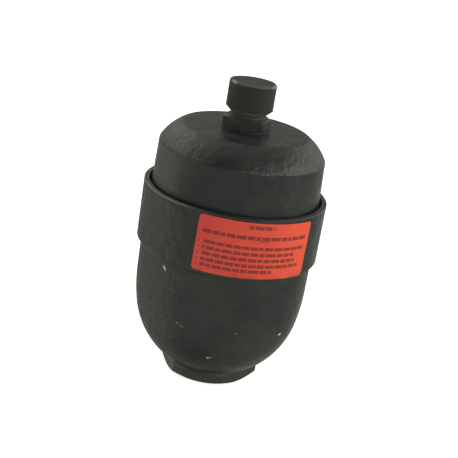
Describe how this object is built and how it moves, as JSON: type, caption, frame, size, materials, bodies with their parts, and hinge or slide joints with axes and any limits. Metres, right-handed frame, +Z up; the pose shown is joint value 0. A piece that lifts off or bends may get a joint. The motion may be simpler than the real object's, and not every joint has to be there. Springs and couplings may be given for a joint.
{
  "type": "hydraulic accumulator",
  "caption": "Upright diaphragm accumulator: forged bowl with threaded collar, screwed dome, hexagonal fluid port below, capped gas valve on top and a red sticker on the collar.",
  "frame": {"origin": "centre of the fluid port's face, where the part stands", "axes": "+Z up along the axis from the fluid port to the gas valve; -Y is the side that the picture shows, with the sticker"},
  "size_m": [0.11, 0.1102, 0.184],
  "materials": {
    "black_paint": "satin black enamel over forged steel",
    "black_steel": "black enamel over turned steel",
    "plain_steel": "machined",
    "brass": "machined",
    "nitrile_rubber": "moulded",
    "white_plastic": "turned from bar",
    "cap_plastic": "satin moulded",
    "red_vinyl": "satin film"
  },
  "bodies": {
    "vessel": {"lower_shell": "black_paint", "upper_shell": "black_paint", "clamp_ring": "plain_steel", "diaphragm": "nitrile_rubber", "shell_o_ring": "nitrile_rubber", "shell_backup_ring": "white_plastic", "gas_valve_body": "black_steel", "gas_valve_o_ring": "nitrile_rubber", "core_plug": "brass", "core_barrel": "brass", "core_gasket": "white_plastic", "core_spring": "plain_steel", "red_sticker": "red_vinyl"},
    "button": {"diaphragm_button": "plain_steel"},
    "valve_pin": {"core_pin": "brass", "core_spring_seat": "brass", "core_cup": "brass", "core_seal": "nitrile_rubber"},
    "liner": {"cap_liner": "nitrile_rubber"},
    "cap": {"protective_cap": "cap_plastic"}
  },
  "joints": [
    {"name": "cap_lift", "type": "slide", "parent": "vessel", "child": "liner", "axis": [0, 0, 1], "range_m": [0, 0.0128]},
    {"name": "cap_turn", "type": "hinge", "parent": "liner", "child": "cap", "pos_m": [0, 0, 0.17881], "axis": [0, 0, 1], "range_deg": [0, 2880]},
    {"name": "valve_press", "type": "slide", "parent": "vessel", "child": "valve_pin", "axis": [0, 0, -1], "range_m": [0, 0.0014], "stiffness_N_per_m": 300, "springref_m": -0.002, "deforming": ["core_spring"]},
    {"name": "button_stroke", "type": "slide", "parent": "vessel", "child": "button", "axis": [0, 0, 1], "range_m": [0, 0.095], "deforming": ["diaphragm"]}
  ],
  "couplings": [
    {"joint": "cap_lift", "follows": "cap_turn", "m_per_rad": 0.00025266}
  ]
}
